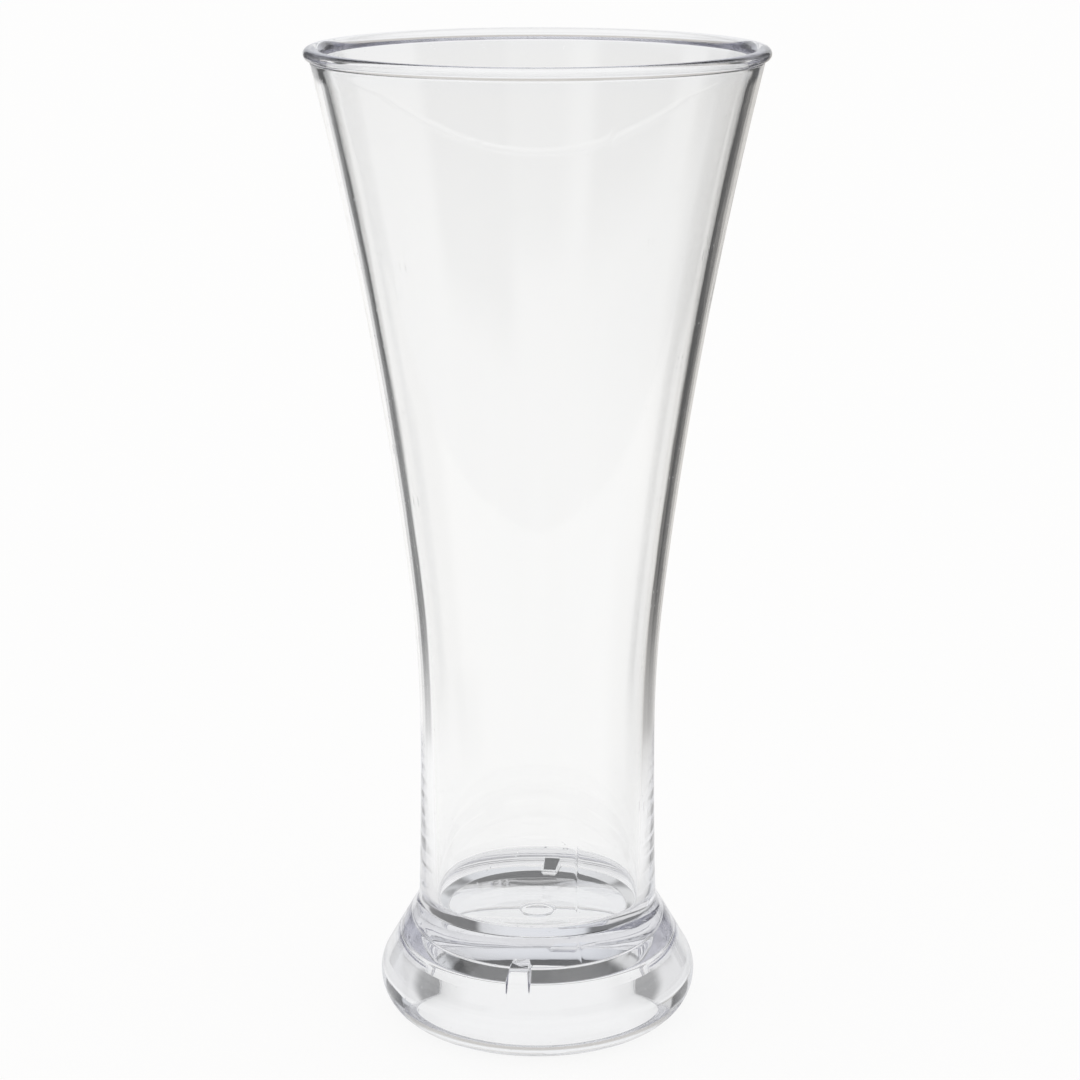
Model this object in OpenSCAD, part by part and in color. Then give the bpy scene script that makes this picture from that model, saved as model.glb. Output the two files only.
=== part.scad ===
// Pilsner glass moulded in one piece from clear plastic: a tall flared bowl with a beaded rim,
// a pinched waist and a thick solid foot that is hollowed out underneath.
// The glass stands on the table at z = 0, with its axis on z. Lengths are in millimetres.

/* [Overall] */
// Height from the table to the top of the rim
height = 193; // [170:1:230]

/* [Rim] */
// Diameter over the bead that runs round the rim
rim_d = 87.7; // [78:0.1:98]
// Height of the bead
bead_h = 2.3; // [1.8:0.1:3.2]
// How far the bead stands out from the bowl's wall
bead_out = 1.1; // [0.4:0.1:2]
// Rounding of the bead's inner edge, where one drinks
lip_round = 1.6; // [0.6:0.1:2]

/* [Bowl] */
// Outer diameter of the stem where it is slimmest
stem_d = 46.5; // [42:0.1:47.2]
// Height of the slimmest place
stem_h = 58.6; // [50:0.2:70]
// Radius of the long bend in which the stem turns into the flare
knee_round = 259; // [180:1:400]
// Lean of the wall at the top of that bend, in degrees
knee_lean = 6.5; // [4:0.1:8]
// Wall thickness just below the bead
rim_wall = 2.4; // [1.8:0.1:3]
// Wall thickness at the slimmest place
stem_wall = 2.3; // [1.8:0.1:3.2]
// Draft of the bowl's inside below the slimmest place, in degrees
core_draft = 0.6; // [0:0.1:1.5]
// Height at which the bowl's floor would meet its wall
floor_h = 25; // [23:0.1:32]
// How far the dished floor sinks towards its middle
floor_dish = 3.5; // [0.5:0.1:5]
// Rounding between the floor and the wall
floor_round = 1; // [0.5:0.1:4]

/* [Foot] */
// Diameter of the foot at its widest
foot_d = 63.3; // [58:0.1:70]
// Height of its widest place
foot_widest_h = 8.2; // [6:0.1:9]
// Rounding below the widest place, down to the contact ring
curl_round = 9.1; // [9.05:0.05:14]
// Rounding above the widest place, into the sloping flank
shoulder_round = 8; // [5:0.1:12]
// Diameter of the waist, where the flank meets the stem
waist_d = 47.7; // [47.3:0.1:50]
// Height of the waist
waist_h = 23.9; // [21:0.1:28]
// Rounding in the crease of the waist
waist_round = 1.2; // [0.5:0.1:2.5]

/* [Underside] */
// Height of the recess's ceiling above the table
recess_h = 15.3; // [13.2:0.1:16]
// Diameter of the ceiling
ceiling_d = 39.9; // [34:0.1:42]
// Step down at the edge of the ceiling, onto the ledge round it
step_h = 0.4; // [0.2:0.1:0.8]
// Diameter over the ledge
ledge_d = 48.7; // [43:0.1:49.2]
// How far the ledge slopes down from its inner to its outer edge
ledge_drop = 1.1; // [0.2:0.1:1.4]
// Rounding of the ledge's outer edge
ledge_round = 1; // [0.3:0.1:1.2]
// Height of the slight bend in the recess's wall
bend_h = 11.7; // [6:0.1:11.8]
// Diameter of the recess at that bend
bend_d = 49.6; // [49.3:0.1:50.2]
// Diameter of the recess at the table
mouth_d = 50.6; // [50.3:0.1:51.2]
// Rounding of the contact ring's inner edge
ring_round = 0.3; // [0.2:0.1:0.5]
// Width of the two notches across the ledge
notch_w = 3.7; // [2:0.1:5]
// How far each notch reaches in over the ceiling
notch_in = 1.2; // [0.3:0.1:3]
// How far each notch is cut up above the ceiling
notch_rise = 1.4; // [0.5:0.1:2.5]
// Direction of the notches, in degrees from the x axis
notch_turn = 81.5; // [0:0.5:180]
// Diameter of the round gate mark in the middle of the ceiling
gate_d = 7.3; // [4:0.1:12]
// How far the gate mark stands down from the ceiling
gate_h = 1.6; // [0.3:0.1:2.5]

/* [Hidden] */
// Facets of a full turn, and steps of a curve in an outline
$fn = 180;
small_steps = 6;
round_steps = 12;
knee_steps = 8;
flare_steps = 24;
// How far a cut runs past the surface that it leaves
overrun = 1;
// Width of the step at the edge of the ceiling, its rounding, and how deep a notch cuts the wall
step_w = 0.15;
step_round = 0.2;
notch_deep = 0.1;

rim_r = rim_d / 2;
stem_r = stem_d / 2;
waist_r = waist_d / 2;
foot_r = foot_d / 2;
ceiling_r = ceiling_d / 2;
mouth_r = mouth_d / 2;
bead_round = bead_h / 2;
bead_under_h = height - bead_h;
flare_r = rim_r - bead_out;
knee_h = stem_h + knee_round * sin(knee_lean);
knee_r = stem_r + knee_round * (1 - cos(knee_lean));
flare_h = bead_under_h - knee_h;
flare_bend = (flare_r - knee_r - tan(knee_lean) * flare_h) / (flare_h * flare_h);
floor_r = stem_r - stem_wall - tan(core_draft) * (stem_h - floor_h);

// The dished floor is part of a ball. The rounding touches both the ball and the drafted core, so
// the height h of its centre solves fillet_a h^2 + 2 fillet_b h + fillet_c = 0
dish_round = (pow(floor_r, 2) + pow(floor_dish, 2)) / (2 * floor_dish);
dish_top = floor_h - floor_dish + dish_round;
core_slope = tan(core_draft);
core_foot = floor_r - core_slope * floor_h - floor_round / cos(core_draft);
fillet_a = 1 + pow(core_slope, 2);
fillet_b = core_foot * core_slope - dish_top;
fillet_c = pow(core_foot, 2) + pow(dish_top, 2) - pow(dish_round - floor_round, 2);
fillet_h = (-fillet_b - sqrt(pow(fillet_b, 2) - fillet_a * fillet_c)) / fillet_a;
fillet_centre = [core_foot + core_slope * fillet_h, fillet_h];
fillet_turn = atan2(fillet_h - dish_top, fillet_centre[0]);

// Points round an arc, from one angle to another
function arc(centre, radius, from, to, steps) =
    [for (i = [0 : steps]) let (a = from + (to - from) * i / steps) centre + radius * [cos(a), sin(a)]];

// Heights in equal steps
function heights(low, high, steps) = [for (i = [0 : steps]) low + (high - low) * i / steps];

// The arc that rounds the corner b on the way from a to c
function rounded(a, b, c, radius, steps) =
    let (
        to_a = (a - b) / norm(a - b),
        to_c = (c - b) / norm(c - b),
        half = acos(to_a * to_c) / 2,
        along = (to_a + to_c) / norm(to_a + to_c),
        centre = b + along * radius / sin(half),
        start = b + to_a * radius / tan(half) - centre,
        end = b + to_c * radius / tan(half) - centre,
        from = atan2(start[1], start[0]),
        turn = atan2(end[1], end[0]) - from,
        short = turn > 180 ? turn - 360 : turn < -180 ? turn + 360 : turn
    )
    arc(centre, radius, from, from + short, steps);

// Outer radius of the wall above the waist: a drafted stem, the knee's arc, then a steady flare
function wall_r(h) =
    h < stem_h ? stem_r + (waist_r - stem_r) * pow((stem_h - h) / (stem_h - waist_h), 2) :
    h < knee_h ? stem_r + knee_round - sqrt(pow(knee_round, 2) - pow(h - stem_h, 2)) :
    knee_r + tan(knee_lean) * (h - knee_h) + flare_bend * pow(h - knee_h, 2);

// Wall thickness, which changes evenly from the slimmest place to the rim
function wall_at(h) = stem_wall + (rim_wall - stem_wall) * (h - stem_h) / (bead_under_h - stem_h);

// Inner radius of the bowl: a straight drafted core, then the outer curve less the wall
function bore_r(h) =
    h < stem_h ? floor_r + (stem_r - stem_wall - floor_r) * (h - floor_h) / (stem_h - floor_h) :
    wall_r(h) - wall_at(h);

// The flank runs from the waist and touches the shoulder's circle
shoulder_centre = [foot_r - shoulder_round, foot_widest_h];
waist_point = [waist_r, waist_h];
to_waist = waist_point - shoulder_centre;
flank_turn = atan2(to_waist[1], to_waist[0]) - acos(shoulder_round / norm(to_waist));
flank_foot = shoulder_centre + shoulder_round * [cos(flank_turn), sin(flank_turn)];
// The curl runs down from the widest place to the contact ring
curl_centre = [foot_r - curl_round, foot_widest_h];
curl_turn = asin(foot_widest_h / curl_round);

// Everything inside the outer surface, from the contact ring to the underside of the bead
module outer_outline() {
    stem_foot = [wall_r(waist_h + waist_round), waist_h + waist_round];
    polygon(concat(
        [[0, 0]],
        arc(curl_centre, curl_round, -curl_turn, 0, round_steps),
        arc(shoulder_centre, shoulder_round, 0, flank_turn, round_steps),
        rounded(flank_foot, waist_point, stem_foot, waist_round, small_steps),
        [for (h = heights(waist_h + 2 * waist_round, stem_h, round_steps)) [wall_r(h), h]],
        [for (h = heights(stem_h, knee_h, knee_steps)) [wall_r(h), h]],
        [for (h = heights(knee_h, bead_under_h, flare_steps)) [wall_r(h), h]],
        [[0, bead_under_h]]
    ));
}

// The rim: the wall carried up to the top, with a half-round bead outside
module rim_outline() {
    polygon(concat(
        [[0, bead_under_h]],
        arc([rim_r - bead_round, bead_under_h + bead_round], bead_round, -90, 90, round_steps),
        [[0, height]]
    ));
}

// The inside of the bowl, open at the top, with the lip rounded off
module bore_outline() {
    lip_r = bore_r(height - lip_round);
    polygon(concat(
        arc([0, dish_top], dish_round, -90, fillet_turn, flare_steps),
        arc(fillet_centre, floor_round, fillet_turn, -core_draft, small_steps),
        [for (h = heights(stem_h, knee_h, knee_steps)) [bore_r(h), h]],
        [for (h = heights(knee_h, height - lip_round, flare_steps)) [bore_r(h), h]],
        arc([lip_r + lip_round, height - lip_round], lip_round, 180, 90, round_steps),
        [[lip_r + lip_round, height + overrun], [0, height + overrun]]
    ));
}

// The hollow under the foot: a ceiling, a small step, a sloping ledge, then a wall that opens downwards
module recess_outline() {
    edge = [ceiling_r, recess_h];
    step = [ceiling_r + step_w, recess_h - step_h];
    ledge = [ledge_d / 2, recess_h - step_h - ledge_drop];
    bend = [bend_d / 2, bend_h];
    mouth = [mouth_r, 0];
    polygon(concat(
        [[0, -overrun], [mouth_r + ring_round, -overrun]],
        rounded([foot_r, 0], mouth, bend, ring_round, small_steps),
        [bend],
        rounded(bend, ledge, step, ledge_round, small_steps),
        rounded(ledge, step, edge, step_round, small_steps),
        rounded(step, edge, [0, recess_h], step_round, small_steps),
        [[0, recess_h]]
    ));
}

// Two notches opposite each other, cut up across the ledge and a little way into the recess's wall
module notches() {
    from_r = ceiling_r - notch_in;
    to_r = bend_d / 2 + notch_deep;
    top_h = recess_h + notch_rise;
    for (side = [0, 180])
        rotate([0, 0, notch_turn + side])
            intersection() {
                translate([0, -notch_w / 2, 0])
                    cube([foot_r, notch_w, height]);
                rotate_extrude()
                    polygon([[from_r, 0], [to_r, 0], [to_r, top_h], [from_r, top_h]]);
            }
}

// The round mark left in the middle of the ceiling by the gate
module gate_mark() {
    translate([0, 0, recess_h - gate_h])
        cylinder(d = gate_d, h = gate_h + overrun);
}

module glass_body() {
    color([0.93, 0.95, 0.96, 0.4]) {
        difference() {
            rotate_extrude() {
                outer_outline();
                rim_outline();
            }
            rotate_extrude() bore_outline();
            rotate_extrude() recess_outline();
            notches();
        }
        gate_mark();
    }
}

glass_body();
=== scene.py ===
"""A pilsner glass in clear moulded plastic, standing on a white studio table.

The glass is one piece. Its outline is worked out from the sizes in the sidebar panel and carried
once round the axis. Each column of the surface has its own outline, so the same grid also holds
the two notches under the foot, the mould's parting seam and the slight waves of a moulded wall.
"""

import math

import bpy
import numpy as np
from bpy.props import FloatProperty, FloatVectorProperty, IntProperty, PointerProperty
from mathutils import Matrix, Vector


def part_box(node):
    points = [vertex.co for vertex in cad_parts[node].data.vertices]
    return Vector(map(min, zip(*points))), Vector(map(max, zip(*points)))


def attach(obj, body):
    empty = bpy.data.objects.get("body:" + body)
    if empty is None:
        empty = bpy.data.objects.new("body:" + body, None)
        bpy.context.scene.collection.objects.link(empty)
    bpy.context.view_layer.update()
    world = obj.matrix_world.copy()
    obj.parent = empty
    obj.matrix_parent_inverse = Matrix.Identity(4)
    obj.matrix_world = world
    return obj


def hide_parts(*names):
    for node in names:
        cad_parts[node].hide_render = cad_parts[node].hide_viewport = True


bl_info = {
    "name": "Pilsner glass",
    "version": (1, 0, 0),
    "blender": (4, 5, 0),
    "location": "View3D > Sidebar > Pilsner glass",
    "description": "Builds a clear moulded pilsner glass and the white table that it stands on",
    "category": "Mesh",
}

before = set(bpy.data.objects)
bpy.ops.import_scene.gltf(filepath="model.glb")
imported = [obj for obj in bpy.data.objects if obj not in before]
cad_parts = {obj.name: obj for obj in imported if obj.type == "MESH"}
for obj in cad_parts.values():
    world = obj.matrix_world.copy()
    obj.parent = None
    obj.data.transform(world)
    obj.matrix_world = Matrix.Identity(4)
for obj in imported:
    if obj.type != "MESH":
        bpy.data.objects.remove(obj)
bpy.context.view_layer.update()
CAD_LOW, CAD_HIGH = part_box("glass_body")

MM = 0.001
# Steps of a curve in the outline
TINY, SMALL, ROUND, LONG = 4, 8, 12, 24


def length(name, description, default, low, high):
    """A length in metres, shown in the scene's own unit."""
    return FloatProperty(name=name, description=description, default=default * MM, min=low * MM,
                         max=high * MM, precision=5, step=0.1, subtype="DISTANCE", unit="LENGTH")


def angle(name, description, default, low, high):
    """An angle, given here in degrees and kept in radians."""
    return FloatProperty(name=name, description=description, default=math.radians(default),
                         min=math.radians(low), max=math.radians(high), subtype="ANGLE", unit="ROTATION")


def share(name, description, default):
    """A plain number between 0 and 1."""
    return FloatProperty(name=name, description=description, default=default, min=0, max=1, subtype="FACTOR")


def change(name, description, default):
    """A change of brightness, down or up."""
    return FloatProperty(name=name, description=description, default=default, min=-1, max=1)


class BowlSizes(bpy.types.PropertyGroup):
    """Sizes of the bowl, its rim and its stem."""
    height: length("Height", "From the table to the top of the rim", (CAD_HIGH[2] - CAD_LOW[2]) / MM, 170, 230)
    rim_d: length("Rim diameter", "Diameter over the bead that runs round the rim", 87.7, 78, 98)
    bead_h: length("Bead height", "Height of the bead", 2.3, 1.8, 3.2)
    bead_out: length("Bead stand-out", "How far the bead stands out from the wall", 1.1, 0.4, 2)
    lip_round: length("Lip rounding", "Rounding of the bead's inner edge", 1.6, 0.6, 2)
    stem_d: length("Stem diameter", "Outer diameter where the stem is slimmest", 46.5, 42, 47.2)
    stem_h: length("Stem height", "Height of the slimmest place", 58.6, 50, 70)
    knee_round: length("Knee radius", "Radius of the bend from the stem into the flare", 259, 180, 400)
    knee_lean: angle("Knee lean", "Lean of the wall at the top of that bend", 6.5, 4, 8)
    rim_wall: length("Wall at the rim", "Wall thickness just below the bead", 2.4, 1.8, 3)
    stem_wall: length("Wall at the stem", "Wall thickness at the slimmest place", 2.3, 1.8, 3.2)
    core_draft: angle("Core draft", "Draft of the inside below the slimmest place", 0.6, 0, 1.5)
    floor_h: length("Floor height", "Height at which the floor would meet the wall", 25, 23, 32)
    floor_dish: length("Floor dish", "How far the floor sinks towards its middle", 3.3, 0.5, 5)
    floor_round: length("Floor rounding", "Rounding between the floor and the wall", 1, 0.5, 4)


class FootSizes(bpy.types.PropertyGroup):
    """Sizes of the foot and of the hollow under it."""
    foot_d: length("Foot diameter", "Diameter of the foot at its widest", 63.3, 58, 70)
    foot_widest_h: length("Widest height", "Height of the foot's widest place", 8.2, 6, 9)
    curl_round: length("Curl rounding", "Rounding below the widest place", 9.1, 9.05, 14)
    shoulder_round: length("Shoulder rounding", "Rounding above the widest place", 8, 5, 12)
    waist_d: length("Waist diameter", "Diameter where the flank meets the stem", 47.7, 47.3, 50)
    waist_h: length("Waist height", "Height of the waist", 23.9, 21, 28)
    waist_round: length("Waist rounding", "Rounding in the crease of the waist", 1.3, 0.5, 2.5)
    recess_h: length("Recess depth", "Height of the recess's ceiling at its edge", 15.5, 13.2, 16)
    ceiling_dip: length("Ceiling dip", "How far the middle of the ceiling hangs lower", 0.12, 0, 1)
    ceiling_d: length("Ceiling diameter", "Diameter of the ceiling", 40.1, 34, 42)
    step_h: length("Ceiling step", "Step down at the edge of the ceiling, onto the ledge round it", 0.3, 0.2, 0.8)
    ledge_d: length("Ledge diameter", "Diameter over the ledge", 48.7, 43, 49.2)
    ledge_drop: length("Ledge drop", "How far the ledge slopes down", 1.3, 0.2, 1.4)
    ledge_round: length("Ledge rounding", "Rounding of the ledge's outer edge", 1, 0.3, 1.2)
    bend_h: length("Bend height", "Height of the slight bend in the recess's wall", 11.7, 6, 11.8)
    bend_d: length("Bend diameter", "Diameter of the recess at that bend", 49.6, 49.3, 50.2)
    mouth_d: length("Mouth diameter", "Diameter of the recess at the table", 50.6, 50.3, 51.2)
    ring_round: length("Ring rounding", "Rounding of the contact ring's inner edge", 0.3, 0.2, 0.5)
    notch_w: length("Notch width", "Width of the two notches across the ledge", 3.7, 2, 5)
    notch_in: length("Notch reach", "How far each notch reaches in over the ceiling", 1.2, 0.3, 3)
    notch_rise: length("Notch rise", "How far each notch is cut up above the ceiling", 1.4, 0.5, 2.5)
    notch_turn: angle("Notch direction", "Direction of the notches from the x axis", 81.5, 0, 180)
    gate_d: length("Gate diameter", "Diameter of the round gate mark", 7.3, 4, 12)
    gate_h: length("Gate drop", "How far the gate mark stands down", 1.6, 0.3, 2.5)


class FinishLook(bpy.types.PropertyGroup):
    """Looks of the clear plastic."""
    clear: FloatVectorProperty(name="Clear colour", description="Colour of the plastic's skin",
                               default=(0.982, 0.983, 0.98), size=3, min=0, max=1, subtype="COLOR")
    bend: FloatProperty(name="Index of refraction", description="How strongly the plastic bends light",
                        default=1.577, min=1.4, max=1.7)
    clear_ends: FloatVectorProperty(name="Colour of the ends", description="Colour at the rim and in the foot",
                                    default=(0.97, 0.974, 0.98), size=3, min=0, max=1, subtype="COLOR")
    deep: FloatVectorProperty(name="Deep colour", description="Colour that the plastic takes on over a long way",
                              default=(0.5, 0.5, 0.64), size=3, min=0, max=1, subtype="COLOR")
    deep_share: FloatProperty(name="Depth of colour", description="How soon that colour shows, per metre",
                              default=3.0, min=0, max=50)
    speck_spacing: length("Speck spacing", "Spacing of the cells that may hold a speck", 4, 1, 20)
    scratch_spacing: length("Scratch spacing", "Spacing of the cells that may hold a hairline scratch", 7, 1, 40)
    mark_rough: share("Mark roughness", "Roughness of specks and scratches", 0.25)
    dull_rough: share("Dull roughness", "Roughness of the duller patches", 0.02)
    mark_h: length("Mark height", "Height of the specks and depth of the scratches", 0.01, 0, 0.1)
    flow_h: length("Flow mark height", "Height of the flow marks", 0.02, 0, 0.2)
    seam_turn: angle("Seam direction", "Direction of the mould's parting seam", 109, 0, 180)
    seam_h: length("Seam height", "How far the parting seam stands out", 0.045, 0, 0.2)
    wave_h: length("Wave height", "Height of the slight waves in the moulded wall", 0.012, 0, 0.1)
    columns: IntProperty(name="Columns", description="Columns of the surface round the axis",
                         default=194, min=96, max=260)


class StageLook(bpy.types.PropertyGroup):
    """The table, the light round it and the camera."""
    table: FloatVectorProperty(name="Table colour", description="Colour of the table",
                               default=(0.9, 0.9, 0.9), size=3, min=0, max=1, subtype="COLOR")
    table_width: FloatProperty(name="Table width", description="Width of the table", default=12.0,
                               min=2, max=40, subtype="DISTANCE", unit="LENGTH")
    room: share("Room light", "Brightness of the room in the plastic's reflections", 0.72)
    room_backdrop: change("Backdrop", "Change of the lit backdrop straight behind the glass", 0.12)
    room_above: change("Above the backdrop", "Change of the room above the backdrop", -0.62)
    room_top: change("Zenith", "Change of the room straight above", -0.3)
    room_gap: change("Right gap", "Change of the low gap on the right of the backdrop", -0.58)
    room_far: change("Left gap", "Change of the low gap on the left of the backdrop", -0.58)
    room_edge: change("Backdrop's edge", "Change of the narrow gap on the left of the backdrop", -0.5)
    room_post: change("Left post", "Change of the upright dark strip on the left", -0.45)
    room_window: change("Window", "Change of the high room on the left", 0.12)
    room_left: change("Behind on the left", "Change of the room behind the viewer on the left", -0.55)
    room_right: change("Behind on the right", "Change of the room behind the viewer on the right", -0.55)
    room_viewer: change("Viewer", "Change of the room straight behind the viewer", -0.35)
    plain_light: share("Plain light", "Brightness of the room as it lights the table", 0.95)
    table_level: share("Table light", "Brightness of the table in the plastic's reflections", 1.0)
    # Painted shadow: the table round the foot is darker in the plastic's reflections
    painted_shadow_round_foot: change("Table round the foot", "Change of the table in a ring round the foot", -0.18)
    # Painted shade: strips of the table towards the room's dark gaps are darker in the plastic's reflections
    painted_shade_far_right: change("Table right side", "Change of the far table on the right", -0.42)
    painted_shade_right_gap: change("Table right gap", "Change of the table in the right gap", -0.56)
    painted_shade_left_gap: change("Table left gap", "Change of the table in the left gap", -0.95)
    # Painted shade: patches of the table beside and in front of the foot are darker in the plastic's reflections
    painted_shade_beside_foot: change("Table beside", "Change of a patch of the table beside the foot on the right", -0.35)
    painted_shade_before_foot: change("Table patches", "Change of two patches of the table in front of the foot's sides", -0.5)
    # Painted shade: the far table and its right side are darker as seen through the plastic
    painted_shade_far_through: change("Table fade", "Change of the far table seen through the plastic", -0.07)
    painted_shade_right_through: change("Right fade", "Change of the table seen through the plastic on the right", -0.05)
    warm: FloatVectorProperty(name="Warm light", description="Colour of the warm side of the surroundings",
                              default=(1.0, 0.965, 0.915), size=3, min=0, max=1, subtype="COLOR")
    cool: FloatVectorProperty(name="Cool light", description="Colour of the cool side of the surroundings",
                              default=(0.945, 0.965, 1.0), size=3, min=0, max=1, subtype="COLOR")
    whiteness: share("Whiteness", "Share of plain white in what the eye sees of the table", 0.9)
    camera_away: length("Camera distance", "Distance of the camera from the glass's axis", 542.3, 300, 2000)
    camera_up: length("Camera height", "Height of the camera above the table", 240.45, 0, 1000)
    camera_side: length("Camera shift", "How far the camera stands to the right", 0.5, -50, 50)
    camera_dip: angle("Camera dip", "How far the camera looks down", 14.779, -10, 90)
    camera_lens: FloatProperty(name="Lens", description="Focal length on a 36 mm frame, in millimetres",
                               default=95.566, min=20, max=300)


# ---- outline helpers ----

def arc(centre, radius, start, end, steps):
    """Points round an arc: the centre plus the radius times cosine and sine of evenly spaced angles."""
    turn = np.linspace(start, end, steps + 1)
    return np.asarray(centre) + radius * np.column_stack([np.cos(turn), np.sin(turn)])


def line(start, end, steps):
    """Points in even steps between two points, without the two ends."""
    return np.linspace(start, end, steps + 1)[1:-1]


def rounded(a, b, c, radius, steps):
    """The arc that rounds the corner b on the way from a to c.

    Its centre lies on the corner's bisector, at the radius divided by the sine of half the angle.
    """
    a, b, c = (np.asarray(p, dtype=float) for p in (a, b, c))
    to_a = (a - b) / np.linalg.norm(a - b)
    to_c = (c - b) / np.linalg.norm(c - b)
    half = math.acos(float(to_a @ to_c)) / 2
    along = (to_a + to_c) / np.linalg.norm(to_a + to_c)
    centre = b + along * radius / math.sin(half)
    first = b + to_a * radius / math.tan(half) - centre
    last = b + to_c * radius / math.tan(half) - centre
    start = math.atan2(first[1], first[0])
    turn = (math.atan2(last[1], last[0]) - start + math.pi) % (2 * math.pi) - math.pi
    return arc(centre, radius, start, start + turn, steps)


def smooth(x):
    """A step from 0 to 1 that starts and ends level: 3x^2 - 2x^3 with x held between 0 and 1."""
    x = np.clip(x, 0, 1)
    return x * x * (3 - 2 * x)


class Outline:
    """The sizes that both sides of the wall share, worked out from the panel's sizes."""

    def __init__(self, bowl, foot):
        self.bowl, self.foot = bowl, foot
        self.rim_r, self.stem_r = bowl.rim_d / 2, bowl.stem_d / 2
        self.foot_r, self.waist_r = foot.foot_d / 2, foot.waist_d / 2
        self.under_bead = bowl.height - bowl.bead_h
        self.mouth_r = self.rim_r - bowl.bead_out
        self.knee_h = bowl.stem_h + bowl.knee_round * math.sin(bowl.knee_lean)
        self.knee_r = self.stem_r + bowl.knee_round * (1 - math.cos(bowl.knee_lean))
        flare_h = self.under_bead - self.knee_h
        self.flare_bend = (self.mouth_r - self.knee_r - math.tan(bowl.knee_lean) * flare_h) / flare_h ** 2
        self.floor_r = (self.stem_r - bowl.stem_wall
                        - math.tan(bowl.core_draft) * (bowl.stem_h - bowl.floor_h))

    def wall_r(self, h):
        """Outer radius: a parabola in the stem, the knee's arc, then a steady flare."""
        bowl, h = self.bowl, np.asarray(h, dtype=float)
        stem = self.stem_r + (self.waist_r - self.stem_r) * (
            (bowl.stem_h - h) / (bowl.stem_h - self.foot.waist_h)) ** 2
        knee = self.stem_r + bowl.knee_round - np.sqrt(
            np.maximum(bowl.knee_round ** 2 - (h - bowl.stem_h) ** 2, 0))
        flare = self.knee_r + math.tan(bowl.knee_lean) * (h - self.knee_h) + self.flare_bend * (h - self.knee_h) ** 2
        return np.where(h < bowl.stem_h, stem, np.where(h < self.knee_h, knee, flare))

    def bore_r(self, h):
        """Inner radius: a straight drafted core, then the outer curve less a wall that changes evenly."""
        bowl, h = self.bowl, np.asarray(h, dtype=float)
        top_r = self.stem_r - bowl.stem_wall
        core = self.floor_r + (top_r - self.floor_r) * (h - bowl.floor_h) / (bowl.stem_h - bowl.floor_h)
        wall = bowl.stem_wall + (bowl.rim_wall - bowl.stem_wall) * (h - bowl.stem_h) / (self.under_bead - bowl.stem_h)
        return np.where(h < bowl.stem_h, core, self.wall_r(h) - wall)

    def on_wall(self, low, high, steps):
        """Points up the outer wall, in even steps of height."""
        h = np.linspace(low, high, steps + 1)
        return np.column_stack([self.wall_r(h), h])

    def down_bore(self, high, low, steps):
        """Points down the inner wall, in even steps of height."""
        h = np.linspace(high, low, steps + 1)
        return np.column_stack([self.bore_r(h), h])

    def ceiling(self, r):
        """Points of the ceiling: lowest in the middle, and higher by a parabola towards its edge."""
        foot, r = self.foot, np.asarray(r, dtype=float)
        return np.column_stack([r, foot.recess_h - foot.ceiling_dip * (1 - (r / (foot.ceiling_d / 2)) ** 2)])

    def under(self):
        """The underside from the axis to the contact ring, plain and through the middle of a notch.

        Both have the same number of points, so a column can lie between them. Over the ledge a
        notch's points have the plain ones' radius, at the notch's own height.
        """
        foot, fine = self.foot, 0.3 * MM
        gate_r, ceiling_r, mouth_r = foot.gate_d / 2, foot.ceiling_d / 2, foot.mouth_d / 2
        top, high = float(self.ceiling([gate_r])[0, 1]), foot.recess_h + foot.notch_rise
        gate_low = top - foot.gate_h
        edge = [ceiling_r, foot.recess_h]
        step = [ceiling_r + 0.15 * MM, foot.recess_h - foot.step_h]
        ledge = [foot.ledge_d / 2, step[1] - foot.ledge_drop]
        bend, mouth = [foot.bend_d / 2, foot.bend_h], [mouth_r, 0.0]
        from_r, to_r = ceiling_r - foot.notch_in, bend[0] + 0.1 * MM
        heel = [to_r, foot.bend_h * (mouth_r - to_r) / (mouth_r - bend[0])]
        start = np.concatenate([
            np.column_stack([np.linspace(0.02 * MM, gate_r - 2 * fine, TINY), np.full(TINY, gate_low)]),
            rounded([0, gate_low], [gate_r, gate_low], [gate_r, top], fine, TINY),
            rounded([gate_r, gate_low], [gate_r, top], [ceiling_r, top], fine, TINY),
            self.ceiling(np.linspace(gate_r + 2 * fine, from_r - 2 * fine, ROUND + TINY)),
        ])
        near = self.ceiling(from_r + np.linspace(-fine, fine, 3 * SMALL))
        at_edge, at_step = rounded(near[0], edge, step, 0.22 * MM, SMALL), rounded(edge, step, ledge, fine, SMALL)
        at_ledge, at_bend = rounded(step, ledge, bend, foot.ledge_round, ROUND), rounded(ledge, bend, mouth, fine, TINY)
        across = np.concatenate([line(near[-1], at_edge[0], SMALL), at_edge, at_step,
                                 line(at_step[-1], at_ledge[0], ROUND)])
        down = np.concatenate([line(at_ledge[-1], at_bend[0], SMALL), at_bend, line(bend, heel, TINY)[1:]])
        foot_of_notch = self.ceiling([from_r])[0]
        notch_near = np.concatenate([
            rounded(near[0], foot_of_notch, [from_r, high], fine, SMALL),
            line([from_r, foot_of_notch[1] + fine], [from_r, high - fine], SMALL),
            rounded(foot_of_notch, [from_r, high], [to_r, high], fine, SMALL - 1),
        ])
        notch_across = np.column_stack([across[:, 0], np.full(len(across), high)])
        notch_ledge = rounded([from_r, high], [to_r, high], heel, fine, ROUND)
        notch_down = np.linspace(notch_ledge[-1], heel, len(down) + 1)[1:]
        ring = rounded(heel, mouth, [self.foot_r, 0], foot.ring_round, SMALL)
        end = np.concatenate([np.linspace(heel, ring[0], ROUND)[1:-1], ring])
        plain = np.concatenate([start, near, across, at_ledge, down, end])
        cut = np.concatenate([start, notch_near, notch_across, notch_ledge, notch_down, end])
        if len(plain) != len(cut):
            raise RuntimeError(f"the two undersides have {len(plain)} and {len(cut)} points")
        return plain, cut

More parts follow.
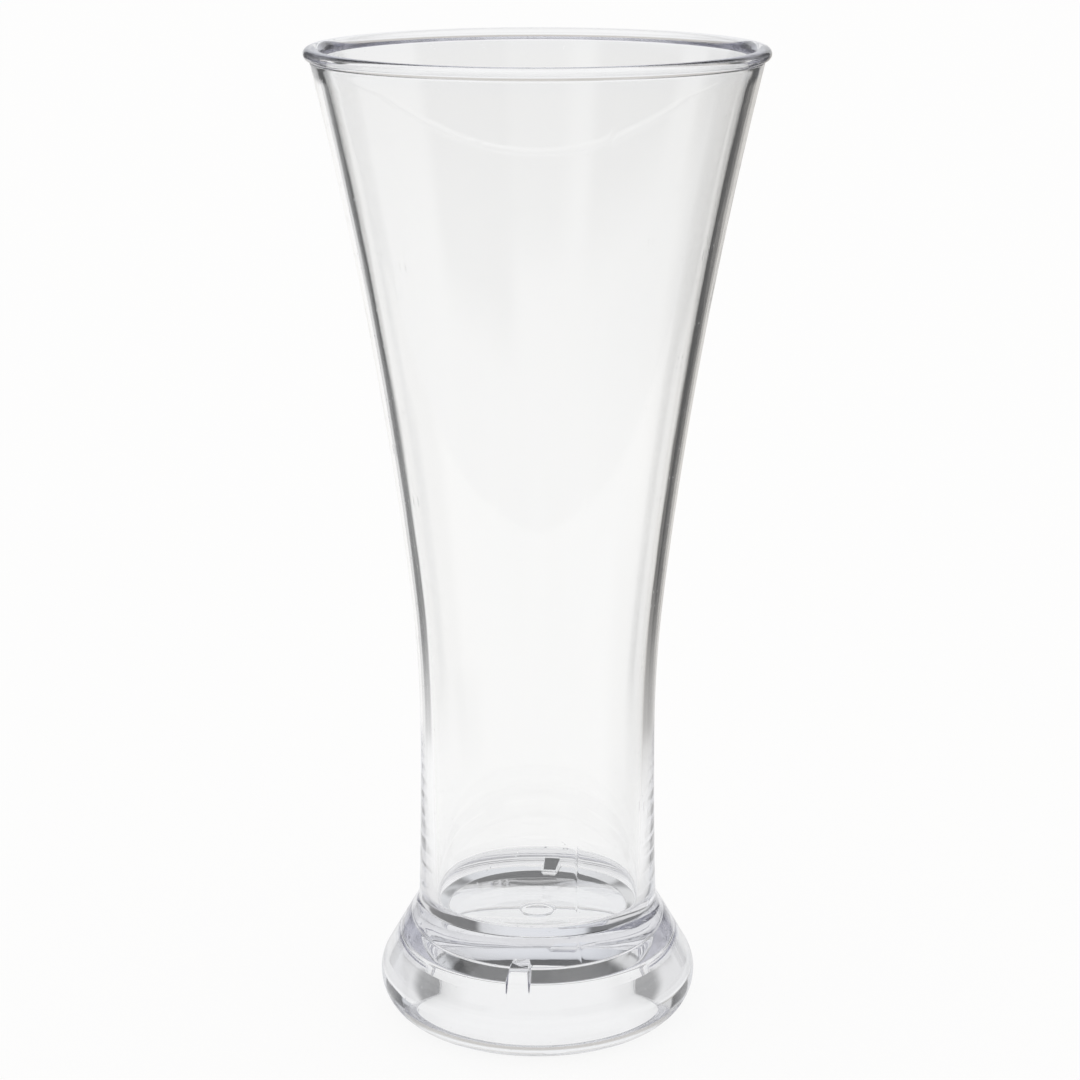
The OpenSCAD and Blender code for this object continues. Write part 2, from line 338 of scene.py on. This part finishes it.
    def outside(self):
        """The outer surface from the contact ring up to the top of the bead."""
        bowl, foot = self.bowl, self.foot
        curl_centre = [self.foot_r - foot.curl_round, foot.foot_widest_h]
        curl = math.asin(foot.foot_widest_h / foot.curl_round)
        shoulder_centre = np.array([self.foot_r - foot.shoulder_round, foot.foot_widest_h])
        waist = np.array([self.waist_r, foot.waist_h])
        to_waist = waist - shoulder_centre
        flank = math.atan2(to_waist[1], to_waist[0]) - math.acos(foot.shoulder_round / np.linalg.norm(to_waist))
        flank_foot = shoulder_centre + foot.shoulder_round * np.array([math.cos(flank), math.sin(flank)])
        sole = [self.foot_r - foot.curl_round + foot.curl_round * math.cos(curl), 0.0]
        first = curl * 0.88
        lift = [self.foot_r - foot.curl_round + foot.curl_round * math.cos(first),
                foot.foot_widest_h - foot.curl_round * math.sin(first)]
        heel = rounded([0, 0], sole, lift, 0.5 * MM, SMALL)
        above = foot.waist_h + foot.waist_round
        crease = rounded(flank_foot, waist, [float(self.wall_r(above)), above], foot.waist_round, SMALL)
        bead_r = bowl.bead_h / 2
        under = [float(self.wall_r(self.under_bead)), self.under_bead]
        before = [float(self.wall_r(self.under_bead - MM)), self.under_bead - MM]
        return np.concatenate([
            heel,
            arc(curl_centre, foot.curl_round, -first, 0, LONG),
            arc(shoulder_centre, foot.shoulder_round, 0, flank, ROUND + TINY)[1:],
            line(flank_foot, crease[0], SMALL),
            crease,
            self.on_wall(above + 0.9 * foot.waist_round, bowl.stem_h, LONG + SMALL),
            self.on_wall(bowl.stem_h, self.knee_h, ROUND)[1:],
            self.on_wall(self.knee_h, self.under_bead - MM, LONG)[1:],
            rounded(before, under, [self.rim_r - bead_r, self.under_bead], 0.3 * MM, TINY),
            arc([self.rim_r - bead_r, self.under_bead + bead_r], bead_r, math.radians(-85), math.pi / 2, LONG),
        ])

    def inside(self):
        """The inner surface from the top of the bead down to the middle of the dished floor.

        The dish is an arc through the middle and the wall's foot. The fillet between dish and wall
        is found by halving the range of heights in which its circle touches both.
        """
        bowl = self.bowl
        lip_r = float(self.bore_r(bowl.height - bowl.lip_round))
        dish_r = (self.floor_r ** 2 + bowl.floor_dish ** 2) / (2 * bowl.floor_dish)
        dish_h = bowl.floor_h - bowl.floor_dish + dish_r
        slope = math.tan(bowl.core_draft)
        low, high = bowl.floor_h - bowl.floor_dish, bowl.stem_h
        for _ in range(60):
            centre_h = (low + high) / 2
            centre_r = self.floor_r + slope * (centre_h - bowl.floor_h) - bowl.floor_round / math.cos(bowl.core_draft)
            if math.hypot(centre_r, centre_h - dish_h) > dish_r - bowl.floor_round:
                low = centre_h
            else:
                high = centre_h
        fillet = arc([centre_r, centre_h], bowl.floor_round, -bowl.core_draft,
                     math.atan2(centre_h - dish_h, centre_r), ROUND + TINY)
        wall_top = [float(self.bore_r(bowl.stem_h)), bowl.stem_h]
        r = np.linspace(fillet[-1][0] - 0.3 * MM, 0.02 * MM, LONG)
        dish = np.column_stack([r, dish_h - np.sqrt(dish_r ** 2 - r ** 2)])
        return np.concatenate([
            arc([lip_r + bowl.lip_round, bowl.height - bowl.lip_round], bowl.lip_round, math.pi / 2, math.pi, ROUND),
            self.down_bore(bowl.height - bowl.lip_round, self.knee_h, LONG)[1:],
            self.down_bore(self.knee_h, bowl.stem_h, ROUND)[1:],
            line(wall_top, fillet[0], LONG + TINY),
            fillet,
            dish,
        ])


def column_turns(look, foot):
    """Directions of the columns round the axis, closer together at the notches and the seam.

    Even columns near a notch or seam give way to a set with its own spacing, in millimetres across.
    """
    across = 21 * MM
    half = foot.notch_w / 2
    edge = np.array([-0.34, -0.24, -0.16, -0.1, -0.04, 0.04]) * MM + half
    side = np.concatenate([[half * 0.25, half * 0.6, half * 0.8], half - 0.42 * MM + 0 * edge[:1], edge,
                           half + np.array([0.12, 0.35, 0.8]) * MM])
    notch = np.concatenate([-side[::-1], side]) / across
    seam = np.array([-0.55, -0.25, -0.1, 0, 0.1, 0.25, 0.55]) * MM / across
    even = np.arange(look.columns) * 2 * math.pi / look.columns
    taken = np.zeros(len(even), dtype=bool)
    extra = []
    for centre, fan in ((foot.notch_turn, notch), (look.seam_turn, seam)):
        for half_turn in (0, math.pi):
            here = (even - centre - half_turn + math.pi) % (2 * math.pi) - math.pi
            taken |= np.abs(here) < fan[-1] + math.pi / look.columns
            extra.append((centre + half_turn + fan) % (2 * math.pi))
    return np.sort(np.concatenate([even[~taken], *extra]))


def away_from(turns, centre):
    """The turn from each column to the nearer of two opposite directions."""
    return (turns - centre + math.pi / 2) % math.pi - math.pi / 2


def glass_grid(bowl, foot, look):
    """The whole skin of the glass as a grid of points: columns round the axis, rows along the outline.

    A row's radius and height come from the outline. Between a notch's middle and its outside they
    pass from the notched outline to the plain one by a smooth step. The seam adds a narrow
    bell-shaped ridge outside, and both walls get waves: sums of slow sines of turn and height.
    """
    shape = Outline(bowl, foot)
    plain, cut = shape.under()
    outside, inside = shape.outside(), shape.inside()
    turns = column_turns(look, foot)
    notch = away_from(turns, foot.notch_turn) * foot.ceiling_d / 2
    depth = smooth((foot.notch_w / 2 - np.abs(notch)) / (0.4 * MM))[:, None, None]
    under = plain[None] * (1 - depth) + cut[None] * depth
    columns = len(turns)
    rest = np.repeat(np.concatenate([outside, inside])[None], columns, axis=0)
    turn, h = turns[:, None], rest[:, :, 1]
    seam = away_from(turns, look.seam_turn)[:, None] * shape.foot_r
    ridge = look.seam_h * np.exp(-(seam / (0.16 * MM)) ** 2)
    on_outside = np.arange(rest.shape[1])[None, :] < len(outside)
    clear_of_ends = smooth((h - 2 * MM) / (6 * MM)) * smooth((bowl.height - 4 * MM - h) / (4 * MM))
    wave = look.wave_h * (0.5 * np.sin(2 * turn + h / (21 * MM)) + 0.3 * np.sin(3 * turn - h / (13 * MM) + 1.3)
                          + 0.2 * np.sin(5 * turn + h / (8.5 * MM) + 2.1))
    inner_wave = look.wave_h * (0.6 * np.sin(2 * turn - h / (17 * MM) + 0.7) + 0.4 * np.sin(4 * turn + h / (10 * MM)))
    away_from_axis = smooth(rest[:, :, 0] / (15 * MM) - 0.5)
    push = np.where(on_outside, ridge + wave, inner_wave) * clear_of_ends * away_from_axis
    rest[:, :, 0] += push
    grid = np.concatenate([under, rest], axis=1)
    return np.stack([grid[:, :, 0] * np.cos(turn), grid[:, :, 0] * np.sin(turn), grid[:, :, 1]], axis=-1)


def mesh_from_grid(name, grid):
    """A closed mesh from a grid that goes once round: four-sided faces, and a point at either pole.

    Corner k of a face is the column, the next column, the next row of both, so that faces point out.
    """
    columns, rows = grid.shape[:2]
    poles = np.array([[0, 0, grid[0, 0, 2]], [0, 0, grid[0, -1, 2]]])
    points = np.concatenate([grid.reshape(-1, 3), poles])
    i = np.arange(columns)[:, None]
    j = np.arange(rows - 1)[None, :]
    after = (i + 1) % columns
    quads = np.stack([i * rows + j, after * rows + j, after * rows + j + 1, i * rows + j + 1], axis=-1)
    i, after = i[:, 0], after[:, 0]
    first = np.column_stack([np.full(columns, columns * rows), after * rows, i * rows])
    last = np.column_stack([np.full(columns, columns * rows + 1), i * rows + rows - 1, after * rows + rows - 1])
    corners = np.concatenate([quads.ravel(), first.ravel(), last.ravel()])
    sides = np.concatenate([np.full(quads.shape[0] * quads.shape[1], 4), np.full(2 * columns, 3)])
    mesh = bpy.data.meshes.new(name)
    mesh.vertices.add(len(points))
    mesh.vertices.foreach_set("co", points.ravel())
    mesh.loops.add(len(corners))
    mesh.loops.foreach_set("vertex_index", corners)
    mesh.polygons.add(len(sides))
    mesh.polygons.foreach_set("loop_start", np.concatenate([[0], np.cumsum(sides)[:-1]]))
    mesh.polygons.foreach_set("use_smooth", np.ones(len(sides), dtype=bool))
    mesh.update(calc_edges=True)
    if mesh.validate():
        raise RuntimeError(f"{name} has faces that Blender had to mend")
    return mesh


# ---- node helpers ----

def new_material(name):
    """An empty node material and its node tree."""
    material = bpy.data.materials.new(name)
    material.use_nodes = True
    material.node_tree.nodes.clear()
    return material, material.node_tree


def node(tree, kind, settings=None, **values):
    """A shader node with its settings, and its inputs set or linked by name."""
    made = tree.nodes.new(kind)
    for key, value in (settings or {}).items():
        setattr(made, key, value)
    for key, value in values.items():
        socket = made.inputs[int(key[1:])] if key[0] == "_" and key[1:].isdigit() else made.inputs[key.replace("_", " ")]
        if isinstance(value, bpy.types.NodeSocket):
            tree.links.new(value, socket)
        else:
            socket.default_value = value
    return made


def sums(tree, operation, first, second=None, clamp=False):
    """The output of a Math node."""
    made = node(tree, "ShaderNodeMath", {"operation": operation, "use_clamp": clamp}, _0=first)
    if second is not None:
        if isinstance(second, bpy.types.NodeSocket):
            tree.links.new(second, made.inputs[1])
        else:
            made.inputs[1].default_value = second
    return made.outputs[0]


def span(tree, value, low, high, to_low=0.0, to_high=1.0):
    """The output of a Map Range node with a smooth step."""
    made = node(tree, "ShaderNodeMapRange", {"interpolation_type": "SMOOTHSTEP"}, Value=value)
    for socket, number in (("From Min", low), ("From Max", high), ("To Min", to_low), ("To Max", to_high)):
        made.inputs[socket].default_value = number
    return made.outputs["Result"]


def moulded_wear():
    """A node group for the small marks of a moulded and handled plastic surface.

    It unrolls the place on the piece to its turn round the axis times a radius, and its height. On
    that sheet one Voronoi pattern gives specks and a stretched one gives hairline scratches: a cell
    has a mark where its random value passes a limit, near the cell's point. A slow noise gives the
    flow marks of the melt, which run upwards, and another the patches where the surface is duller.
    """
    group = bpy.data.node_groups.new("moulded_wear", "ShaderNodeTree")
    for name, kind, default in (("Place", "NodeSocketVector", None), ("Radius", "NodeSocketFloat", 0.03),
                                ("Speck spacing", "NodeSocketFloat", 0.004),
                                ("Scratch spacing", "NodeSocketFloat", 0.007)):
        socket = group.interface.new_socket(name, in_out="INPUT", socket_type=kind)
        if default is not None:
            socket.default_value = default
    for name in ("Specks", "Scratches", "Flow", "Dull"):
        group.interface.new_socket(name, in_out="OUTPUT", socket_type="NodeSocketFloat")
    start, end = node(group, "NodeGroupInput"), node(group, "NodeGroupOutput")
    place = start.outputs["Place"]
    parts = node(group, "ShaderNodeSeparateXYZ", Vector=place)
    turn = sums(group, "ARCTAN2", parts.outputs["Y"], parts.outputs["X"])
    across = sums(group, "MULTIPLY", turn, start.outputs["Radius"])
    for name, spacing, stretch, limit, near, far in (("Specks", "Speck spacing", 1.0, 0.8, 0.02, 0.05),
                                                     ("Scratches", "Scratch spacing", 0.12, 0.72, 0.008, 0.022)):
        sheet = node(group, "ShaderNodeCombineXYZ", X=sums(group, "DIVIDE", across, start.outputs[spacing]),
                     Y=sums(group, "MULTIPLY", sums(group, "DIVIDE", parts.outputs["Z"], start.outputs[spacing]), stretch))
        tilted = node(group, "ShaderNodeVectorRotate", Vector=sheet.outputs[0], Angle=0.0 if name == "Specks" else 0.05)
        cells = node(group, "ShaderNodeTexVoronoi", {"voronoi_dimensions": "2D"}, Vector=tilted.outputs[0], Scale=1.0)
        chosen = sums(group, "GREATER_THAN", node(group, "ShaderNodeSeparateColor", Color=cells.outputs["Color"]).outputs[0], limit)
        group.links.new(sums(group, "MULTIPLY", span(group, cells.outputs["Distance"], near, far, 1.0, 0.0), chosen),
                        end.inputs[name])
    upwards = node(group, "ShaderNodeMapping", Vector=place, Scale=(1.0, 1.0, 0.35))
    flow = node(group, "ShaderNodeTexNoise", Vector=upwards.outputs[0], Scale=130.0, Detail=1.5)
    group.links.new(flow.outputs["Fac"], end.inputs["Flow"])
    dull = node(group, "ShaderNodeTexNoise", Vector=place, Scale=28.0, Detail=2.0)
    group.links.new(span(group, dull.outputs["Fac"], 0.56, 0.8), end.inputs["Dull"])
    return group


def clear_plastic(look):
    """Clear polished plastic: a shade cooler towards the rim and foot, with flow marks, specks and hairlines.

    Specks and scratches are a little rough and stand up or sink by a hundredth of a millimetre.
    """
    material, tree = new_material("clear_plastic")
    out = node(tree, "ShaderNodeOutputMaterial")
    place = node(tree, "ShaderNodeTexCoord").outputs["Object"]
    wear = node(tree, "ShaderNodeGroup", {"node_tree": moulded_wear()}, Place=place, Radius=0.03,
                Speck_spacing=look.speck_spacing, Scratch_spacing=look.scratch_spacing)
    height = node(tree, "ShaderNodeSeparateXYZ", Vector=place).outputs["Z"]
    ends = sums(tree, "MAXIMUM", span(tree, height, 0.187, 0.191), span(tree, height, 0.02, 0.03, 1.0, 0.0))
    shade = node(tree, "ShaderNodeMix", {"data_type": "RGBA"}, _0=ends, _6=(*look.clear, 1.0), _7=(*look.clear_ends, 1.0))
    marks = sums(tree, "MAXIMUM", wear.outputs["Specks"], wear.outputs["Scratches"])
    rough = sums(tree, "ADD", sums(tree, "MULTIPLY", marks, look.mark_rough),
                 sums(tree, "MULTIPLY", wear.outputs["Dull"], look.dull_rough))
    raised = sums(tree, "ADD", sums(tree, "MULTIPLY", wear.outputs["Flow"], look.flow_h),
                  sums(tree, "MULTIPLY", sums(tree, "SUBTRACT", wear.outputs["Specks"], wear.outputs["Scratches"]), look.mark_h))
    bumps = node(tree, "ShaderNodeBump", Strength=1.0, Distance=1.0, Height=raised)
    skin = node(tree, "ShaderNodeBsdfPrincipled", Base_Color=shade.outputs[2], Roughness=rough, IOR=look.bend,
                Transmission_Weight=1.0, Normal=bumps.outputs[0])
    depth = node(tree, "ShaderNodeVolumeAbsorption", Color=(*look.deep, 1.0), Density=look.deep_share)
    tree.links.new(skin.outputs["BSDF"], out.inputs["Surface"])
    tree.links.new(depth.outputs["Volume"], out.inputs["Volume"])
    return material


class PILSNER_OT_glass(bpy.types.Operator):
    """Build the glass as one closed piece and give it its clear finish"""
    bl_idname = "pilsner.glass"
    bl_label = "Glass"

    def execute(self, context):
        scene = context.scene
        grid = glass_grid(scene.pilsner_bowl, scene.pilsner_foot, scene.pilsner_finish)
        mesh = mesh_from_grid("glass_skin", grid)
        mesh.materials.append(clear_plastic(scene.pilsner_finish))
        glass = bpy.data.objects.new("glass_skin", mesh)
        scene.collection.objects.link(glass)
        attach(glass, "root")
        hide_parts("glass_body")
        return {"FINISHED"}


def bump(tree, turn, middle, flat, edge):
    """1 where a turn is within flat of the middle, falling smoothly to 0 at the edge, all in degrees."""
    away = sums(tree, "SUBTRACT", turn, math.radians(middle))
    away = sums(tree, "ARCCOSINE", sums(tree, "COSINE", away))
    return span(tree, away, math.radians(flat), math.radians(edge), 1.0, 0.0)


def mixed(tree, part, first, second):
    """A value between first and second, by the part from 0 to 1."""
    return node(tree, "ShaderNodeMix", {"data_type": "FLOAT"}, _0=part, _2=first, _3=second).outputs[0]


def tinted(tree, part, first, second):
    """A colour between first and second, by the part from 0 to 1."""
    first = first if isinstance(first, bpy.types.NodeSocket) else (*first, 1)
    return node(tree, "ShaderNodeMix", {"data_type": "RGBA"}, _0=part, _6=first, _7=(*second, 1)).outputs[2]


def turn_of(tree, way):
    """The turn of a way round the z axis, from the y axis towards the x axis."""
    ways = node(tree, "ShaderNodeSeparateXYZ", Vector=way)
    return sums(tree, "ARCTAN2", ways.outputs["X"], ways.outputs["Y"])


def level(tree, way, far, base, parts):
    """A brightness that varies with the turn of a way and with a second value, far.

    It is the base plus each part's change, inside the part's turns and its range of far. A part is
    its change, the middle of its turns and how far it is even and fades out to either side, in
    degrees, and the stretches of far over which it fades in and out, or None.
    """
    turn = turn_of(tree, way)
    for amount, middle, even, edge, start, stop in parts:
        mask = amount if even is None else sums(
            tree, "MULTIPLY", bump(tree, turn, middle, even, edge), amount)
        if start:
            mask = sums(tree, "MULTIPLY", span(tree, far, *start), mask)
        if stop:
            mask = sums(tree, "MULTIPLY", span(tree, far, *stop, 1.0, 0.0), mask)
        base = sums(tree, "ADD", mask, base)
    return sums(tree, "MAXIMUM", base, 0.02)


def rays(tree):
    """Two values: 1 for rays from the eye or through plastic, and 1 for those that nothing reflected."""
    path = node(tree, "ShaderNodeLightPath")
    straight = sums(tree, "LESS_THAN", path.outputs["Glossy Depth"], 0.5)
    seen = sums(tree, "MAXIMUM", path.outputs["Is Camera Ray"],
                sums(tree, "MAXIMUM", path.outputs["Is Glossy Ray"], path.outputs["Is Transmission Ray"]))
    return path, seen, straight


def table_material(look):
    """A white table that keeps a faint shadow. In the plastic's reflections the table glows with painted shade: a
    painted shadow round the foot, painted dark patches beside and in front of it, darker painted strips towards the
    room's gaps, and a painted warm light behind on the right; seen through the plastic, the far table has a painted
    darkening.
    """
    material, tree = new_material("white_table")
    out = node(tree, "ShaderNodeOutputMaterial")
    place = node(tree, "ShaderNodeTexCoord").outputs["Object"]
    away = node(tree, "ShaderNodeVectorMath", {"operation": "LENGTH"}, _0=place).outputs["Value"]
    # What the plastic reflects of the table: an even glow with painted shade laid on it
    reflected = level(tree, place, away, look.table_level, (
        # A ring of painted shadow round the foot
        (look.painted_shadow_round_foot, 0, None, None, (0.02, 0.035), (0.06, 0.09)),
        # Painted shade in strips towards the room's gaps on the right and on the left
        (look.painted_shade_far_right, 46, 30, 44, (0.09, 0.2), None),
        (look.painted_shade_right_gap, 38, 9, 13, (0.14, 0.28), (1.0, 1.8)),
        (look.painted_shade_right_gap, 30, 5, 9, (1.0, 1.8), None),
        (look.painted_shade_left_gap, -41, 6, 11, (0.13, 0.26), None),
        (look.painted_shade_left_gap, -27, 8, 12, (1.0, 1.8), None),
        # Painted shade in patches beside and in front of the foot
        (look.painted_shade_beside_foot, 90, 8, 28, (0.09, 0.13), (0.17, 0.28)),
        (look.painted_shade_before_foot, 115, 12, 24, (0.027, 0.034), (0.05, 0.065)),
        (look.painted_shade_before_foot, -115, 12, 24, (0.027, 0.034), (0.05, 0.065)),
    ))
    path, seen, straight = rays(tree)
    turn = turn_of(tree, place)
    # Painted shade on the table seen through the plastic: darker far away and on the right
    through = sums(tree, "ADD", span(tree, away, 0.5, 1.8, 1.0, 1.0 + look.painted_shade_far_through),
                   sums(tree, "MULTIPLY", span(tree, turn, math.radians(-3), math.radians(14), 0.0, look.painted_shade_right_through),
                        span(tree, away, 0.4, 0.8)))
    through = sums(tree, "MAXIMUM", through, path.outputs["Is Camera Ray"])
    strength = mixed(tree, straight, reflected, through)
    # Painted warm light on the table behind on the right, in the plastic's reflections only
    warmth = sums(tree, "MULTIPLY", bump(tree, turn, 45, 15, 80), span(tree, away, 0.1, 0.3))
    warmth = sums(tree, "MULTIPLY", warmth, sums(tree, "SUBTRACT", 1.0, straight))
    matt = node(tree, "ShaderNodeBsdfDiffuse", Color=(*look.table, 1.0))
    tint = tinted(tree, warmth, (1, 1, 1), look.warm)
    glow = node(tree, "ShaderNodeEmission", Color=tint, Strength=strength)
    part = sums(tree, "MULTIPLY", seen, look.whiteness)
    mix = node(tree, "ShaderNodeMixShader", _0=part, _1=matt.outputs[0], _2=glow.outputs[0])
    tree.links.new(mix.outputs[0], out.inputs["Surface"])
    return material


def room_world(look):
    """The room: white to the eye, paler than it is high up through the plastic, dim in its reflections."""
    world = bpy.data.worlds.new("room")
    world.use_nodes = True
    tree = world.node_tree
    tree.nodes.clear()
    out = node(tree, "ShaderNodeOutputWorld")
    way = node(tree, "ShaderNodeTexCoord").outputs["Generated"]
    up = sums(tree, "ARCSINE", node(tree, "ShaderNodeSeparateXYZ", Vector=way).outputs["Z"])
    up = sums(tree, "MULTIPLY", up, 180 / math.pi)
    reflected = level(tree, way, up, look.room, (
        (look.room_backdrop, 0, 8, 20, None, (20, 30)),
        (look.room_above, 6, 34, 50, (27, 35), None),
        (look.room_top, 0, None, None, (70, 85), None),
        (look.room_gap, 35, 13, 17, None, (13, 19)),
        (look.room_far, -33, 14, 18, None, (13, 19)),
        (look.room_edge, -26, 3, 8, (16, 20), (34, 40)),
        (look.room_post, -60, 8, 14, (4, 8), (34, 42)),
        (look.room_window, -85, 20, 40, (40, 50), (70, 80)),
        (look.room_left, -118, 22, 32, (8, 14), (24, 30)),
        (look.room_right, 135, 22, 32, (5, 10), (26, 32)),
        (look.room_viewer, 180, 12, 25, (10, 14), (24, 30)),
    ))
    path, seen, straight = rays(tree)
    through = span(tree, up, 1.0, 13.0, 1.0, 0.63)
    through = sums(tree, "ADD", through, span(tree, up, 26.0, 60.0, 0.0, 0.27))
    seen_room = sums(tree, "MAXIMUM", mixed(tree, straight, reflected, through), path.outputs["Is Camera Ray"])
    light = mixed(tree, seen, look.plain_light, seen_room)
    hidden = sums(tree, "SUBTRACT", 1.0, path.outputs["Is Camera Ray"])
    warmth = sums(tree, "MULTIPLY", sums(tree, "MULTIPLY", span(tree, up, 4.0, 12.0), span(tree, up, 30.0, 60.0, 1.0, 0.0)), straight)
    coolness = sums(tree, "MULTIPLY", bump(tree, turn_of(tree, way), -40, 25, 80), sums(tree, "SUBTRACT", 1.0, straight))
    tint = tinted(tree, sums(tree, "MULTIPLY", warmth, hidden), (1, 1, 1), look.warm)
    tint = tinted(tree, sums(tree, "MULTIPLY", coolness, hidden), tint, look.cool)
    sky = node(tree, "ShaderNodeBackground", Color=tint, Strength=light)
    tree.links.new(sky.outputs[0], out.inputs["Surface"])
    return world


class PILSNER_OT_stage(bpy.types.Operator):
    """Build the table, the room's light and the camera"""
    bl_idname = "pilsner.stage"
    bl_label = "Stage"

    def execute(self, context):
        scene, look = context.scene, context.scene.pilsner_stage
        half = look.table_width / 2
        mesh = bpy.data.meshes.new("table")
        low = -0.02 * MM
        corners = [(-half, -half, low), (half, -half, low), (half, half, low), (-half, half, low)]
        mesh.from_pydata(corners, [], [(0, 1, 2, 3)])
        mesh.materials.append(table_material(look))
        table = bpy.data.objects.new("table", mesh)
        scene.collection.objects.link(table)
        scene.world = room_world(look)
        camera_data = bpy.data.cameras.new("camera")
        camera_data.sensor_width = 36
        camera_data.lens = look.camera_lens
        camera = bpy.data.objects.new("camera", camera_data)
        camera.location = (look.camera_side, -look.camera_away, look.camera_up)
        camera.rotation_euler = (math.pi / 2 - look.camera_dip, 0, 0)
        scene.collection.objects.link(camera)
        scene.camera = camera
        scene.view_settings.view_transform = "Standard"
        scene.cycles.max_bounces = 96
        scene.cycles.glossy_bounces = 96
        scene.cycles.transmission_bounces = 64
        return {"FINISHED"}


class PILSNER_PT_panel(bpy.types.Panel):
    """Sizes and looks of the glass, with a button for each part of the scene"""
    bl_idname = "PILSNER_PT_panel"
    bl_label = "Pilsner glass"
    bl_space_type = "VIEW_3D"
    bl_region_type = "UI"
    bl_category = "Pilsner glass"

    def draw(self, context):
        for group in (context.scene.pilsner_bowl, context.scene.pilsner_foot, context.scene.pilsner_finish,
                      context.scene.pilsner_stage):
            box = self.layout.box()
            for key in group.__annotations__:
                box.prop(group, key)
        for step in (PILSNER_OT_glass, PILSNER_OT_stage):
            self.layout.operator(step.bl_idname)


CLASSES = (BowlSizes, FootSizes, FinishLook, StageLook, PILSNER_OT_glass, PILSNER_OT_stage, PILSNER_PT_panel)


def register():
    for made in CLASSES:
        bpy.utils.register_class(made)
    bpy.types.Scene.pilsner_bowl = PointerProperty(type=BowlSizes)
    bpy.types.Scene.pilsner_foot = PointerProperty(type=FootSizes)
    bpy.types.Scene.pilsner_finish = PointerProperty(type=FinishLook)
    bpy.types.Scene.pilsner_stage = PointerProperty(type=StageLook)


def unregister():
    for name in ("pilsner_bowl", "pilsner_foot", "pilsner_finish", "pilsner_stage"):
        delattr(bpy.types.Scene, name)
    for made in reversed(CLASSES):
        bpy.utils.unregister_class(made)


def plain(box):
    """A box as plain lists of numbers."""
    return [[float(number) for number in corner] for corner in box]


def main():
    register()
    bpy.ops.pilsner.glass()
    bpy.ops.pilsner.stage()


if __name__ == "__main__":
    main()
